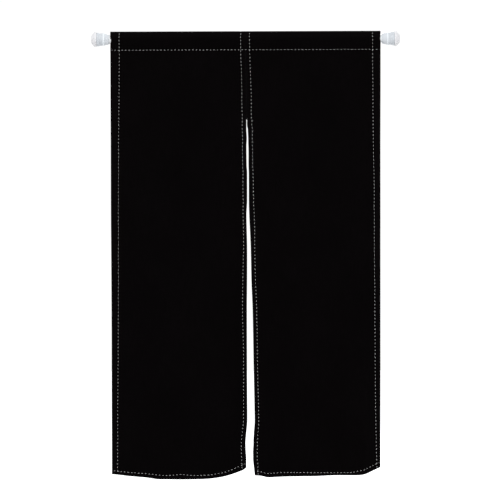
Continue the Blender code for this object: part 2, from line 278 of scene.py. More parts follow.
def read_table(rows, column, at):
    """Read a column where the first one is at a value, along a smooth curve that never swings past."""
    keys = np.array([row[0] for row in rows])
    values = np.array([getattr(row, column) for row in rows])
    rises = np.diff(values) / np.diff(keys)
    before, after = rises[:-1], rises[1:]
    same_way = before * after > 0
    middle = np.where(same_way, 2 * before * after / np.where(same_way, before + after, 1.0), 0.0)
    slopes = np.concatenate((rises[:1], middle, rises[-1:]))
    at = np.clip(at, keys[0], keys[-1])
    low = np.clip(np.searchsorted(keys, at, side="right") - 1, 0, len(rises) - 1)
    span = keys[low + 1] - keys[low]
    share = (at - keys[low]) / span
    rest = 1 - share
    bend = share * rest * (rest * slopes[low] - share * slopes[low + 1]) * span
    return values[low] + eased(share) * (values[low + 1] - values[low]) + bend


def eased(share):
    share = np.clip(share, 0.0, 1.0)
    return share * share * (3 - 2 * share)


def shares(count):
    """Even shares from 0 to 1, both included."""
    return [step / count for step in range(count + 1)]


def joined(*parts):
    """Arrays put together item by item, such as x, y and z into points."""
    return np.stack(parts, axis=-1)


def seam_overlap(drop):
    """Above the slit the panels are sewn edge to edge, so that no gap shows."""
    return SEAM_OVERLAP * (1 - eased((drop - SLIT_START) / SEAM_END))


def left_panel_edges(drop):
    outer = CLOTH_LEFT + read_table(SIDES, "left", drop)
    inner = CLOTH_CENTRE + read_table(SLIT, "edge", drop)
    return outer, inner + seam_overlap(drop)


def right_panel_edges(drop):
    inner = CLOTH_CENTRE + read_table(SLIT, "edge", drop) + read_table(SLIT, "width", drop)
    outer = CLOTH_LEFT + CLOTH_WIDTH - read_table(SIDES, "right", drop)
    return inner - seam_overlap(drop), outer


LEFT_PANEL = Panel(
    name="left_cloth",
    edges=left_panel_edges,
    foot=table(
        Foot,
        (0.00, 1.4481), (0.12, 1.4531), (0.25, 1.4582), (0.37, 1.4658), (0.50, 1.4664),
        (0.71, 1.4630), (0.83, 1.4567), (0.95, 1.4408), (0.98, 1.4349), (1.00, 1.4278),
    ),
    folds=table(
        Fold,
        (0.02, 0.15, -0.006, 0.02), (0.20, 0.17, 0.007, 0.03), (0.45, 0.20, -0.006, -0.04),
        (0.70, 0.18, 0.009, 0.03), (0.97, 0.17, -0.011, -0.03),
    ),
    left_line=table(
        Line,
        (-CREASE_TOP, 0.0303), (0.166, 0.0289), (0.283, 0.0270), (0.667, 0.0246), (1.001, 0.0220),
        (1.335, 0.0196), (1.453, 0.0190),
    ),
    right_line=table(
        Line,
        (-CREASE_TOP, 0.0155), (0.057, 0.0161), (0.107, 0.0146), (0.200, 0.0153), (0.284, 0.0142),
        (0.401, 0.0134), (0.491, 0.0144), (0.611, 0.0112), (0.702, 0.0121), (0.792, 0.0144),
        (0.902, 0.0147), (1.032, 0.0117), (1.153, 0.0122), (1.360, 0.0144), (1.394, 0.0156),
        (1.417, 0.0150),
    ),
    hem_line=table(
        HemLine,
        (0.00, 0.0120), (0.15, 0.0125), (0.25, 0.0132), (0.34, 0.0142), (0.42, 0.0133),
        (0.51, 0.0166), (0.64, 0.0124), (0.74, 0.0132), (0.84, 0.0141), (0.91, 0.0162),
        (0.97, 0.0178), (1.00, 0.0170),
    ),
    slit_on_right=True,
    left_stitch_at=0.0499,
    right_stitch_at=0.0519,
    hem_stitch_at=0.0052,
)

RIGHT_PANEL = Panel(
    name="right_cloth",
    edges=right_panel_edges,
    foot=table(
        Foot,
        (0.00, 1.4526), (0.04, 1.4533), (0.12, 1.4601), (0.26, 1.4586), (0.40, 1.4552),
        (0.65, 1.4552), (0.78, 1.4534), (0.86, 1.4507), (0.92, 1.4423), (1.00, 1.4278),
    ),
    folds=table(
        Fold,
        (0.02, 0.14, 0.010, 0.03), (0.22, 0.15, -0.013, 0.04), (0.43, 0.16, 0.014, -0.02),
        (0.65, 0.16, -0.012, -0.03), (0.84, 0.14, 0.012, 0.02), (1.00, 0.12, -0.009, -0.02),
    ),
    left_line=table(
        Line,
        (-CREASE_TOP, 0.0140), (0.057, 0.0145), (0.134, 0.0153), (0.184, 0.0166), (0.272, 0.0160),
        (0.292, 0.0156), (0.368, 0.0130), (0.431, 0.0139), (0.535, 0.0158), (0.611, 0.0165),
        (0.702, 0.0131), (0.902, 0.0135), (1.053, 0.0128), (1.226, 0.0134), (1.337, 0.0137),
        (1.405, 0.0145), (1.444, 0.0120),
    ),
    right_line=table(
        Line,
        (-CREASE_TOP, 0.0275), (0.235, 0.0251), (0.369, 0.0237), (0.503, 0.0211), (0.697, 0.0207),
        (0.870, 0.0192), (1.205, 0.0170), (1.338, 0.0144), (1.419, 0.0121),
    ),
    hem_line=table(
        HemLine,
        (0.00, 0.0150), (0.07, 0.0130), (0.20, 0.0140), (0.39, 0.0126), (0.52, 0.0113),
        (0.60, 0.0094), (0.75, 0.0091), (0.83, 0.0140), (0.90, 0.0166), (0.97, 0.0178),
        (1.00, 0.0164),
    ),
    slit_on_right=False,
    left_stitch_at=0.0501,
    right_stitch_at=0.0507,
    hem_stitch_at=0.0062,
)


def rod_radius_at(x):
    """The rod's radius under the cloth, eased where the outer tube ends."""
    share = eased((x - OUTER_TUBE_MOUTH) / POCKET_EASE)
    return OUTER_TUBE_RADIUS + share * (INNER_TUBE_RADIUS - OUTER_TUBE_RADIUS)


def share_of_width(panel, x, drop):
    left, right = panel.edges(drop)
    return (x - left) / (right - left)


def line_x(panel, side, drop):
    """Where the stitch line beside an edge runs: over the pocket it goes straight up."""
    left, right = panel.edges(np.maximum(drop, POCKET_STITCH))
    if side == "left":
        return left + read_table(panel.left_line, "inset", drop)
    return right - read_table(panel.right_line, "inset", drop)


def foot_drop(panel, share):
    return read_table(panel.foot, "drop", share)


def hem_line_drop(panel, share):
    return foot_drop(panel, share) - read_table(panel.hem_line, "inset", share)


def fold_depth(panel, share, drop):
    """How far the folds bring the cloth forward at a place."""
    fall = np.clip((drop - FOLDS_START) / (panel.foot[0].drop - FOLDS_START), 0.0, None)
    total = np.zeros(np.broadcast(share, drop).shape)
    for fold in panel.folds:
        away = np.abs(share - fold.share - fold.lean * (fall - 1)) / fold.half_width
        total += np.where(away < 1, fold.depth * (1 + np.cos(np.pi * np.minimum(away, 1))) / 2, 0.0)
    return total * fall ** FOLDS_GROWTH


def ripple_depth(panel, x, drop):
    """Gathers under the pocket stitch, long soft waves, and the curl of the free edges."""
    total = np.zeros(np.broadcast(x, drop).shape)
    for ripple in RIPPLES:
        turn = (x - CLOTH_CENTRE) / ripple.length + ripple.phase + ripple.drift * drop
        fade = np.exp(-((drop - ripple.middle) / ripple.reach) ** 2)
        total += ripple.height * fade * np.sin(math.tau * turn)
    left, right = panel.edges(drop)
    from_slit = (right - x) if panel.slit_on_right else (x - left)
    from_side = (x - left) if panel.slit_on_right else (right - x)
    wave = np.sin(math.tau * drop / CURL_LENGTH)
    open_slit = eased((drop - SLIT_START) / SLIT_CURL_START)
    total += CURL_HEIGHT * wave * open_slit * np.clip(1 - from_slit / CURL_REACH, 0, 1) ** 2
    total -= SIDE_CURL_HEIGHT * wave * np.clip(1 - from_side / CURL_REACH, 0, 1) ** 2
    return total * eased((drop - POCKET_STITCH) / RIPPLES_START)


def face_y(panel, x, drop):
    """Where the front face of the hanging cloth stands, before the pull of the stitches."""
    share = share_of_width(panel, x, drop)
    return -CLOTH - fold_depth(panel, share, drop) - ripple_depth(panel, x, drop)


def near(distance, reach):
    return np.exp(-(distance / reach) ** 2)


def stitch_pull(panel, x, drop):
    """How deep the stitches pinch the cloth, and how far it puckers forward between them."""
    share = share_of_width(panel, x, drop)
    beside = [x - line_x(panel, side, drop) for side in ("left", "right")]
    across = [drop - hem_line_drop(panel, share), drop - POCKET_STITCH]
    pinch = sum(near(distance, PINCH_REACH) for distance in beside + across)
    pucker = np.zeros(pinch.shape)
    for distances, run in ((beside, drop), (across, x)):
        for distance in distances:
            pucker += near(distance, PUCKER_REACH) * np.cos(math.tau * run / STITCH_PITCH)
    return PINCH_DEPTH * np.minimum(pinch, PINCH_LIMIT), PUCKER_HEIGHT * pucker


def make_columns():
    """Columns from edge to edge: close ones at each folded edge and on both sides of its stitches."""
    beside_left = [(0.0, 0.0, 0.0, step, loss) for step, loss in zip(EDGE_STEPS, EDGE_LOSS)]
    beside_left += [(0.0, share, 0.0, 0.0, 0.0) for share in HEM_COLUMNS]
    beside_left += [(0.0, 1.0, 0.0, step, 0.0) for step in STITCH_SIDES]
    start = STITCH_SIDES[-1] + HEM_STEP
    middle = [(share, 1 - share, share, start * (1 - 2 * share), 0.0) for share in shares(FINE_COLUMNS)]
    beside_right = [(1.0, 0.0, line, -shift, loss) for _, line, _, shift, loss in reversed(beside_left)]
    rows = beside_left + middle + beside_right
    return Columns(*[np.array(values)[:, None] for values in zip(*rows)])


def column_x(panel, columns, drop):
    left, right = panel.edges(drop)
    beside_left = columns.left_line * (line_x(panel, "left", drop) - left)
    beside_right = columns.right_line * (right - line_x(panel, "right", drop))
    return left + columns.share * (right - left) + beside_left - beside_right + columns.shift


def hanging_drops(panel, columns):
    """Each column's rows from the pocket stitch to the foot, and how far the foot's rows are rounded."""
    hem_drop = np.full(columns.share.shape, panel.foot[0].drop)
    share = share_of_width(panel, column_x(panel, columns, hem_drop), hem_drop)
    foot = foot_drop(panel, share)
    line = hem_line_drop(panel, share)
    start = POCKET_STITCH + POCKET_ALLOWANCE + HEM_STEP
    end = line - STITCH_SIDES[-1] - HEM_STEP
    rows = [np.full(foot.shape, POCKET_STITCH + step) for step in POCKET_TURN_STEPS]
    rows += [start + (end - start) * number / FINE_ROWS for number in range(FINE_ROWS + 1)]
    rows += [line + step for step in STITCH_SIDES]
    rows += [line + (foot - line) * FOOT_HEM_ROW]
    rows += [foot - step for step in reversed(EDGE_STEPS)]
    loss = np.zeros(len(rows))
    loss[-len(EDGE_LOSS):] = EDGE_LOSS[::-1]
    return np.hstack(rows), loss[None, :]


def hem_thickness(drops):
    """Twice the cloth within the hems and the pocket's turning, once elsewhere."""
    side_columns = len(EDGE_STEPS) + len(HEM_COLUMNS) + len(STITCH_SIDES)
    foot_rows = len(STITCH_SIDES) + 1 + len(EDGE_STEPS)
    doubled = np.zeros(drops.shape, dtype=bool)
    doubled[:side_columns] = True
    doubled[-side_columns:] = True
    doubled[:, :len(POCKET_TURN_STEPS)] = True
    doubled[:, -foot_rows:] = True
    return np.where(doubled, HEM, CLOTH)


def crease_half_angle(rod_radius):
    """The pressed crease keeps its height, so it is a little sharper over the thinner tube."""
    return np.arcsin((rod_radius + TOUCH_GAP + CLOTH) / CREASE_TOP)


def slack_at(share):
    """How free the cloth is of the rod on a straight stretch: not at its ends, most at its middle."""
    return 4 * share * (1 - share)


def pocket_side(rod_radius, spare, crotch, start, rounding):
    """One side of the pocket, spare off the rod, from the stitch over the rod to the crease.

    Gives (out, up, turn, slack): the place, the way that the surface faces as an angle above
    level, and how free the cloth is of the rod there.
    """
    radius = rod_radius + spare
    half_angle = crease_half_angle(rod_radius)
    lower = np.arcsin(radius / crotch)
    straight = np.sqrt(crotch ** 2 - radius ** 2)
    parts = []
    for share in shares(POCKET_STRAIGHT_STEPS)[:-1]:
        along = start + (straight - start) * share
        parts.append((along * np.sin(lower), along * np.cos(lower) - crotch, -lower, slack_at(share)))
    for step in range(POCKET_ARC_STEPS):
        turn = -lower + (lower + half_angle) * step / POCKET_ARC_STEPS
        parts.append((radius * np.cos(turn), radius * np.sin(turn), turn, 0.0))
    rise = (radius - rounding) / np.tan(half_angle)
    for share in shares(POCKET_TOP_STEPS)[:-1]:
        out = radius * np.cos(half_angle) - rise * share * np.sin(half_angle)
        up = radius * np.sin(half_angle) + rise * share * np.cos(half_angle)
        parts.append((out, up, half_angle, slack_at(share)))
    centre = (radius - rounding) / np.sin(half_angle)
    for step in range(CREASE_STEPS + 1):
        turn = half_angle + (math.pi / 2 - half_angle) * step / CREASE_STEPS
        parts.append((rounding * np.cos(turn), centre + rounding * np.sin(turn), turn, 0.0))
    blank = np.zeros(radius.shape)
    return [np.hstack([part[item] + blank for part in parts]) for item in range(4)]


def over_rod(panel, columns, spare, crotch, start, rounding, thinned):
    """A pocket skin as points, up the front and down the back, that stands off the rod by spare."""
    rod_radius = rod_radius_at(column_x(panel, columns, np.zeros(columns.share.shape)))
    out, up, turn, slack = pocket_side(rod_radius, spare, crotch, start, rounding)
    x = column_x(panel, columns, -up)
    wave = np.sin(math.tau * (x / POCKET_WAVE_LENGTH + POCKET_WAVE_DRIFT * up))
    lift = POCKET_WAVE_HEIGHT * slack * wave - thinned
    out = out + lift * np.cos(turn)
    up = up + lift * np.sin(turn)
    front = joined(x, -out, up)
    back = joined(x, out, up)[:, -2::-1]
    return np.concatenate([front, back], axis=1)


def run_along(points, start):
    """The distance along each column's points, counted from start."""
    steps = np.linalg.norm(np.diff(points, axis=1), axis=2)
    return start + np.concatenate([np.zeros((len(points), 1)), np.cumsum(steps, axis=1)], axis=1)


def panel_skins(panel, columns):
    """The outer skin, front foot over the rod to back foot, and the skin inside the pocket."""
    drops, foot_loss = hanging_drops(panel, columns)
    x = column_x(panel, columns, drops)
    thickness = hem_thickness(drops)
    pinch, pucker = stitch_pull(panel, x, drops)
    loss = np.maximum(columns.loss, foot_loss) * thickness / 2
    face = face_y(panel, x, drops)
    front = joined(x, face - pucker + pinch + loss, -drops)
    back = joined(x, face - pucker + thickness - pinch - loss, -drops)
    edge_loss = columns.loss * CLOTH / 2
    outside = over_rod(panel, columns, TOUCH_GAP + CLOTH, POCKET_STITCH + CLOTH, POCKET_OUTSIDE_START,
                       CREASE_ROUNDING, edge_loss)
    inside = over_rod(panel, columns, TOUCH_GAP, POCKET_STITCH - CLOTH, POCKET_INSIDE_START,
                      CREASE_ROUNDING / 3, -edge_loss)
    crotch_x = column_x(panel, columns, np.full(columns.share.shape, POCKET_STITCH - CLOTH))
    crotch = joined(crotch_x, 0 * crotch_x, 0 * crotch_x + CLOTH - POCKET_STITCH)
    ring = np.concatenate([front[:, ::-1], outside, back], axis=1)
    return ring, np.concatenate([crotch, inside], axis=1), drops.shape[1]


def quads_between(first, count, length):
    """Faces of a closed skin whose points are numbered column by column from first."""
    along = np.arange(length)
    starts = first + np.arange(count - 1)[:, None] * length
    here, following = starts + along, starts + (along + 1) % length
    return joined(here, following, following + length, here + length).reshape(-1, 4)


def side_faces(ring, loop, rows):
    """Close a side edge: the hanging sheet, the crotch and the wall round the rod."""
    front, back = ring[:rows][::-1], ring[-rows:]
    faces = [(front[i], front[i + 1], back[i + 1], back[i]) for i in range(rows - 1)]
    faces.append((front[0], back[0], loop[0]))
    outer = [front[0], *ring[rows:-rows], back[0]]
    inner = [*loop, loop[0]]
    faces += [(outer[i], outer[i + 1], inner[i + 1], inner[i]) for i in range(len(outer) - 1)]
    return faces


def cloth_map_places(panel, columns, skins, points, faces, corner):
    """Where each face corner lies on the flat cloth, in metres across and along it."""
    top = column_x(panel, columns, np.zeros(columns.share.shape)) - panel.edges(0.0)[0]
    across = np.concatenate([np.repeat(top, skin.shape[1], axis=1).ravel() for skin in skins])
    along = np.concatenate([run_along(skin, 0.0).ravel() for skin in skins])
    places = joined(across[corner], along[corner])
    lengths = np.array([len(face) for face in faces])
    first = np.concatenate([[0], np.cumsum(lengths)[:-1]])
    low = np.repeat(np.minimum.reduceat(places[:, 1], first), lengths)
    high = np.repeat(np.maximum.reduceat(places[:, 1], first), lengths)
    # Faces that close an edge join points far apart on the run, so they take their own short span
    closing = high - low > LONGEST_FACE
    places[closing, 1] = low[closing] + points[corner[closing], 1]
    return places


def wear_over(count, length):
    """How worn the outer skin is at each point: all of it at the edges, less at hems and crease."""
    edge, hem = len(EDGE_STEPS), len(EDGE_STEPS) + len(HEM_COLUMNS)
    worn = np.zeros((count, length))
    worn[:hem] = worn[-hem:] = HEM_WEAR
    worn[:edge] = worn[-edge:] = 1.0
    worn[:, :edge] = worn[:, -edge:] = 1.0
    middle, reach = length // 2, CREASE_STEPS + 1
    crease = worn[:, middle - reach:middle + reach + 1]
    np.maximum(crease, CREASE_WEAR, out=crease)
    return worn


def cloth_piece(panel, material):
    """A panel as one closed sheet, with its UV map in metres of cloth."""
    columns = make_columns()
    ring, loop, rows = panel_skins(panel, columns)
    count, length, inner = len(ring), ring.shape[1], loop.shape[1]
    points = np.concatenate([ring.reshape(-1, 3), loop.reshape(-1, 3)])
    faces = quads_between(0, count, length).tolist()
    faces += quads_between(count * length, count, inner).tolist()
    for column in (0, count - 1):
        ring_points = (np.arange(length) + column * length).tolist()
        loop_points = (np.arange(inner) + count * length + column * inner).tolist()
        faces += side_faces(ring_points, loop_points, rows)
    mesh = bpy.data.meshes.new(panel.name)
    mesh.from_pydata(points.tolist(), [], faces)

    corner = np.zeros(len(mesh.loops), dtype=np.int32)
    mesh.loops.foreach_get("vertex_index", corner)
    places = cloth_map_places(panel, columns, (ring, loop), points, faces, corner)
    cloth_map = mesh.uv_layers.new(name="cloth_metres")
    cloth_map.uv.foreach_set("vector", places.ravel())
    edge_wear = mesh.attributes.new("edge_wear", "FLOAT", "POINT")
    worn = np.concatenate([wear_over(count, length).ravel(), np.zeros(count * inner)])
    edge_wear.data.foreach_set("value", worn)

    mesh.materials.append(material)
    finish_mesh(mesh)
    return add_object(panel.name, mesh)


def finish_mesh(mesh):
    """Turn every face outwards and shade the mesh smooth."""
    bm = bmesh.new()
    bm.from_mesh(mesh)
    bmesh.ops.recalc_face_normals(bm, faces=bm.faces)
    bm.to_mesh(mesh)
    bm.free()
    mesh.shade_smooth()
    mesh.validate()


def add_object(name, data):
    made = bpy.data.objects.new(name, data)
    bpy.context.collection.objects.link(made)
    return made


def put(tree, kind, values=None, **settings):
    """Add a node with its settings, and a value or a link for each input that is named."""
    node = tree.nodes.new(kind)
    for name, setting in settings.items():
        setattr(node, name, setting)
    for name, value in (values or {}).items():
        if isinstance(value, bpy.types.NodeSocket):
            tree.links.new(value, node.inputs[name])
        else:
            node.inputs[name].default_value = value
    return node


def result_of(tree, kind, values=None, **settings):
    """Add a node in the same way and give its first output."""
    return put(tree, kind, values, **settings).outputs[0]


def maths(tree, operation, *values, clamp=False):
    """A Math node's result."""
    return result_of(tree, "ShaderNodeMath", dict(enumerate(values)), operation=operation, use_clamp=clamp)


def times(tree, first, second):
    return maths(tree, "MULTIPLY", first, second)


def plus(tree, first, second):
    return maths(tree, "ADD", first, second)


def minus(tree, first, second):
    return maths(tree, "SUBTRACT", first, second)


def apart(tree, vector):
    """The outputs X, Y and Z of a vector."""
    return put(tree, "ShaderNodeSeparateXYZ", {0: vector}).outputs


def vector_maths(tree, operation, *values):
    return result_of(tree, "ShaderNodeVectorMath", dict(enumerate(values)), operation=operation)


def scaled_vector(tree, vector, scale):
    return result_of(tree, "ShaderNodeVectorMath", {0: vector, "Scale": scale}, operation="SCALE")


def mixed_colour(tree, factor, first, second):
    node = put(tree, "ShaderNodeMix", {0: factor, 6: first, 7: second}, data_type="RGBA")
    return node.outputs[2]


def stepped(tree, value, low, high, to_low=0.0, to_high=1.0):
    """A Map Range node's result, held within its limits."""
    values = {0: value, 1: low, 2: high, 3: to_low, 4: to_high}
    return result_of(tree, "ShaderNodeMapRange", values)


def named_attribute(tree, name, data_type):
    return result_of(tree, "GeometryNodeInputNamedAttribute", {"Name": name}, data_type=data_type)


def stored(tree, geometry, name, value, data_type):
    """A geometry that keeps a value at its points, under a name."""
    values = {"Geometry": geometry, "Name": name, "Value": value}
    return result_of(tree, "GeometryNodeStoreNamedAttribute", values, data_type=data_type, domain="POINT")


def new_group(name, tree_type, inputs, outputs):
    """A new node group with named sockets, its input node's outputs and its output node's inputs."""
    group = bpy.data.node_groups.new(name, tree_type)
    for label, kind in outputs.items():
        group.interface.new_socket(name=label, in_out="OUTPUT", socket_type="NodeSocket" + kind)
    for label, (kind, value) in inputs.items():
        socket = group.interface.new_socket(name=label, in_out="INPUT", socket_type="NodeSocket" + kind)
        if value is not None:
            socket.default_value = value
    return group, group.nodes.new("NodeGroupInput").outputs, group.nodes.new("NodeGroupOutput").inputs


def running_stitch_tree():
    """Sews a thread along each line of points: over the cloth, through it and under it, again and again.

    The lines carry the way that the cloth faces, the way across the stitches, how far the thread
    rises on each side, and where along the line a stitch has its middle.
    """
    inputs = {
        "Geometry": ("Geometry", None),
        "Stitch Pitch": ("Float", STITCH_PITCH),
        "Front Share": ("Float", STITCH_FRONT_SHARE),
        "Thread Radius": ("Float", THREAD_RADIUS),
        "Side Swing": ("Float", 0.0),
        "Looseness": ("Float", STITCH_LOOSENESS),
        "Steepness": ("Float", STITCH_STEEPNESS),
        "Points per Stitch": ("Int", 9),
        "Thread Sides": ("Int", 6),
        "Seed": ("Int", 3),
        "Thread Material": ("Material", None),
    }
    tree, given, result = new_group("running_stitch", "GeometryNodeTree", inputs, {"Geometry": "Geometry"})
    line = result_of(tree, "GeometryNodeMeshToCurve", {"Mesh": given["Geometry"]})
    step = maths(tree, "DIVIDE", given["Stitch Pitch"], given["Points per Stitch"])
    even = result_of(tree, "GeometryNodeResampleCurve", {"Curve": line, "Length": step}, mode="LENGTH")
    place = put(tree, "GeometryNodeSplineParameter").outputs["Length"]
    lead = named_attribute(tree, "lead", "FLOAT")
    stitches = maths(tree, "DIVIDE", minus(tree, place, lead), given["Stitch Pitch"])
    turn = times(tree, stitches, math.tau)
    # The thread shows on the front for its share of each stitch, and dives steeply between
    bias = maths(tree, "COSINE", times(tree, given["Front Share"], math.pi))
    wave = minus(tree, maths(tree, "COSINE", turn), bias)
    wave = maths(tree, "TANH", times(tree, wave, given["Steepness"]))

    number = maths(tree, "FLOOR", plus(tree, stitches, 0.5))
    whole = result_of(tree, "FunctionNodeFloatToInt", {0: number})
    uneven = result_of(
        tree, "FunctionNodeRandomValue",
        {"Min": (-1.0, -1.0, -1.0), "Max": (1.0, 1.0, 1.0), "ID": whole, "Seed": given["Seed"]},
        data_type="FLOAT_VECTOR",
    )
    uneven = scaled_vector(tree, uneven, given["Looseness"])

    front = named_attribute(tree, "front_rise", "FLOAT")
    under = times(tree, named_attribute(tree, "back_rise", "FLOAT"), -1.0)
    rise = stepped(tree, wave, -1.0, 1.0, under, front)
    swing = times(tree, maths(tree, "SINE", turn), given["Side Swing"])
    swing = plus(tree, swing, apart(tree, uneven)["X"])
    raised = scaled_vector(tree, named_attribute(tree, "facing", "FLOAT_VECTOR"), rise)
    swung = scaled_vector(tree, named_attribute(tree, "across", "FLOAT_VECTOR"), swing)
    offset = vector_maths(tree, "ADD", raised, swung)
    sewn = result_of(tree, "GeometryNodeSetPosition", {"Geometry": even, "Offset": offset})

    # What the thread's material reads: the way along the thread and the way round it
    along = stored(tree, sewn, "thread_along", place, "FLOAT")
    circle = result_of(tree, "GeometryNodeCurvePrimitiveCircle",
                       {"Resolution": given["Thread Sides"], "Radius": given["Thread Radius"]})
    outward = vector_maths(tree, "NORMALIZE", result_of(tree, "GeometryNodeInputPosition"))
    profile = stored(tree, circle, "thread_round", outward, "FLOAT_VECTOR")
    thread = result_of(tree, "GeometryNodeCurveToMesh",
                       {"Curve": along, "Profile Curve": profile, "Fill Caps": True})
    smooth = result_of(tree, "GeometryNodeSetShadeSmooth", {"Geometry": thread})
    real = result_of(tree, "GeometryNodeRealizeInstances", {"Geometry": smooth})
    dyed = result_of(tree, "GeometryNodeSetMaterial",
                     {"Geometry": real, "Material": given["Thread Material"]})
    tree.links.new(dyed, result["Geometry"])
    return tree


def sewn_piece(name, tree, lines, material, **inputs):
    """Grow the thread along some lines and keep the result as a plain mesh."""
    mesh = bpy.data.meshes.new(name)
    points = np.concatenate([line.points for line in lines])
    edges = []
    for line in lines:
        first = edges[-1][1] + 1 if edges else 0
        edges += [(first + step, first + step + 1) for step in range(len(line.points) - 1)]
    mesh.from_pydata(points.tolist(), edges, [])
    for item in ("facing", "across"):
        values = np.concatenate([getattr(line, item) for line in lines])
        mesh.attributes.new(item, "FLOAT_VECTOR", "POINT").data.foreach_set("vector", values.ravel())
    for item in ("front_rise", "back_rise", "lead"):
        values = np.concatenate([np.full(len(line.points), 1.0) * getattr(line, item) for line in lines])
        mesh.attributes.new(item, "FLOAT", "POINT").data.foreach_set("value", values)
    piece = add_object(name, mesh)
    modifier = piece.modifiers.new("running_stitch", "NODES")
    modifier.node_group = tree
    sockets = {item.name: item.identifier for item in tree.interface.items_tree if item.in_out == "INPUT"}
    for label, value in {**inputs, "Thread Material": material}.items():
        modifier[sockets[label]] = value
    evaluated = piece.evaluated_get(bpy.context.evaluated_depsgraph_get())
    piece.data = bpy.data.meshes.new_from_object(evaluated, preserve_all_data_layers=True,
                                                 depsgraph=bpy.context.evaluated_depsgraph_get())
    piece.modifiers.clear()
    piece.data.name = name
    bpy.data.meshes.remove(mesh)
    return piece


def hanging_frame(panel, x, drop):
    """Points half-way through the hem and the way that the cloth faces there."""
    small = 0.002
    face = face_y(panel, x, drop)
    slope_x = (face_y(panel, x + small, drop) - face_y(panel, x - small, drop)) / (2 * small)
    slope_z = (face_y(panel, x, drop - small) - face_y(panel, x, drop + small)) / (2 * small)
    facing = joined(slope_x, np.full(x.shape, -1.0), slope_z)
    facing /= np.linalg.norm(facing, axis=-1, keepdims=True)
    pucker = stitch_pull(panel, x, drop)[1]
    return joined(x, face - pucker + HEM / 2, -drop), facing


def sewn_line(points, facing, front_rise, back_rise, lead):
    """A line to sew, with the way across it worked out, level with the cloth."""
    across = np.cross(facing, np.gradient(points, axis=0))
    across /= np.linalg.norm(across, axis=-1, keepdims=True)
    return SewnLine(points, facing, across, front_rise, back_rise, lead)


def lead_to(points, drop):
    """The distance along an upright line, over the rod and down the front, to a drop."""
    run = run_along(points[None], 0.0)[0]
    front = int(np.argmax(points[:, 2])) + 1
    return np.interp(drop, -points[front:, 2], run[front:])


def upright_line(panel, side):
    """A stitch line beside an edge: up the pocket's back, over the crease and down to the foot."""
    high = panel.foot[0].drop
    share = share_of_width(panel, line_x(panel, side, high), high)
    drop = np.linspace(POCKET_STITCH, foot_drop(panel, share) - LINE_END_ABOVE_FOOT, UPRIGHT_LINE_STEPS)
    hanging, facing = hanging_frame(panel, line_x(panel, side, drop), drop)
    rod_radius = np.array([[float(rod_radius_at(float(line_x(panel, side, 0.0))))]])
    wall = pocket_side(rod_radius, TOUCH_GAP + CLOTH / 2, POCKET_STITCH, POCKET_LINE_START, CREASE_ROUNDING)
    out, up, turn = [item[0] for item in wall[:3]]
    out = np.concatenate([out, -out[-2::-1]])
    up = np.concatenate([up, up[-2::-1]])
    turn = np.concatenate([turn, math.pi - turn[-2::-1]])
    pocket = joined(line_x(panel, side, -up), out, up)
    pocket_facing = joined(0 * turn, np.cos(turn), np.sin(turn))
    points = np.concatenate([pocket, hanging[1:]])
    facing = np.concatenate([pocket_facing, facing[1:]])
    over_pocket = np.arange(len(points)) < len(pocket)
    front_rise = np.where(over_pocket, CLOTH / 2, HEM / 2 - PINCH_DEPTH) + THREAD_RISE
    # Inside the pocket the thread is pressed into the cloth by the rod
    back_rise = np.where(over_pocket, PRESSED_THREAD_RISE, front_rise)
    # The gap is longer where the needle passes the pocket's own stitches
    lead = lead_to(points, getattr(panel, side + "_stitch_at")) - POCKET_SKIP * over_pocket
    return sewn_line(points, facing, front_rise, back_rise, lead)


def hem_sewn_line(panel):
    """The stitches that hold the foot's hem."""
    high = panel.foot[0].drop
    left, right = panel.edges(high)
    x = np.linspace(float(left) + HEM_LINE_MARGIN, float(right) - HEM_LINE_MARGIN, HEM_LINE_STEPS)
    points, facing = hanging_frame(panel, x, hem_line_drop(panel, share_of_width(panel, x, high)))
    rise = HEM / 2 - PINCH_DEPTH + THREAD_RISE
    return sewn_line(points, facing, rise, rise, panel.hem_stitch_at)


def panel_lines(panel):
    return [upright_line(panel, "left"), upright_line(panel, "right"), hem_sewn_line(panel)]


def pocket_sewn_line():
    """The row across both panels that closes the pocket."""
    left = float(LEFT_PANEL.edges(POCKET_STITCH)[0]) + POCKET_LINE_MARGIN
    right = float(RIGHT_PANEL.edges(POCKET_STITCH)[1]) - POCKET_LINE_MARGIN
    x = np.linspace(left, right, POCKET_LINE_STEPS)
    points = joined(x, 0 * x, 0 * x - POCKET_STITCH - POCKET_LINE_SAG)
    rise = CLOTH - PINCH_DEPTH + THREAD_RISE
    return sewn_line(points, np.tile(FORWARD, (len(x), 1)), rise, rise, POCKET_STITCH_AT - left)


def seam_lines():
    """The overcast seam that joins the panels, and a close bar below it at the start of the slit."""
    drop = np.linspace(POCKET_STITCH + SEAM_START, SLIT_START - TACK_LENGTH, SEAM_LINE_STEPS)
    x = LEFT_PANEL.edges(drop)[1] - SEAM_OVERLAP + TOUCH_GAP / 2
    y = (face_y(LEFT_PANEL, x, drop) + face_y(RIGHT_PANEL, x, drop)) / 2 + HEM / 2
    points = joined(x, y, -drop)
    bar = points[-1] + np.linspace(0, 1, TACK_STEPS)[:, None] * np.array([TACK_SLANT, 0.0, -TACK_LENGTH])
    rise = HEM / 2 + SEAM_THREAD_RISE
    return [sewn_line(line, np.tile(FORWARD, (len(line), 1)), rise, rise, 0.0) for line in (points, bar)]


